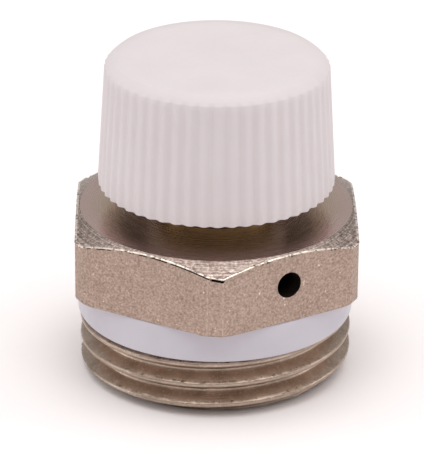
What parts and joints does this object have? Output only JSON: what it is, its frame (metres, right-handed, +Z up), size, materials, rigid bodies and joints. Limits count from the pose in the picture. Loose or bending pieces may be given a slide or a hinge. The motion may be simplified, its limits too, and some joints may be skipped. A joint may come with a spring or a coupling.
{
  "type": "automatic radiator air vent",
  "caption": "Automatic radiator air vent: ribbed hand knob on a nickel-plated hexagon with a side discharge hole, sealing ring and short pipe-thread stud, with a swelling-disc cartridge inside.",
  "frame": {"origin": "centre of the stud's end face", "axes": "+Z up the valve axis to the knob, +X out of one flat of the hexagon, -Y out of the corner between the discharge hole's flat and the next one"},
  "size_m": [0.017, 0.0192, 0.02],
  "materials": {
    "nickel_brass": "nickel plated, fine blasted grain",
    "ptfe": "smooth white PTFE",
    "rubber": "EPDM, matt",
    "spring_steel": "stainless",
    "bare_brass": "turned brass",
    "acetal": "natural acetal",
    "cellulose": "pressed cellulose fibre",
    "knob_plastic": "moulded white ABS, satin"
  },
  "bodies": {
    "valve_body": {"body": "nickel_brass", "gasket": "ptfe", "neck_o_ring": "rubber", "snap_ring": "spring_steel", "spring_retainer": "bare_brass", "valve_spring": "spring_steel"},
    "disc_cartridge": {"cartridge_cap": "acetal", "cartridge_seal": "rubber", "strainer": "spring_steel", "disc_1": "cellulose", "disc_2": "cellulose", "disc_3": "cellulose", "disc_4": "cellulose", "disc_5": "cellulose", "disc_6": "cellulose"},
    "hand_knob": {"spindle": "bare_brass", "knob": "knob_plastic"},
    "closer": {"closing_plate": "spring_steel", "closing_seal": "rubber"},
    "check_poppet": {"poppet": "bare_brass", "poppet_seal": "rubber"}
  },
  "joints": [
    {"name": "cartridge_lift", "type": "slide", "parent": "valve_body", "child": "disc_cartridge", "axis": [0, 0, 1], "range_m": [0, 0.00075]},
    {"name": "knob_turn", "type": "hinge", "parent": "disc_cartridge", "child": "hand_knob", "pos_m": [0, 0, 0.012], "axis": [0, 0, 1], "range_deg": [0, 360]},
    {"name": "disc_swell", "type": "slide", "parent": "disc_cartridge", "child": "closer", "axis": [0, 0, 1], "range_m": [0, 0.00022], "deforming": ["disc_1", "disc_2", "disc_3", "disc_4", "disc_5", "disc_6"]},
    {"name": "poppet_travel", "type": "slide", "parent": "valve_body", "child": "check_poppet", "axis": [0, 0, 1], "range_m": [0, 0.00075], "deforming": ["valve_spring"]}
  ],
  "couplings": [
    {"joint": "knob_turn", "follows": "cartridge_lift", "rad_per_m": 8377.6},
    {"joint": "poppet_travel", "follows": "cartridge_lift", "ratio": 1}
  ]
}
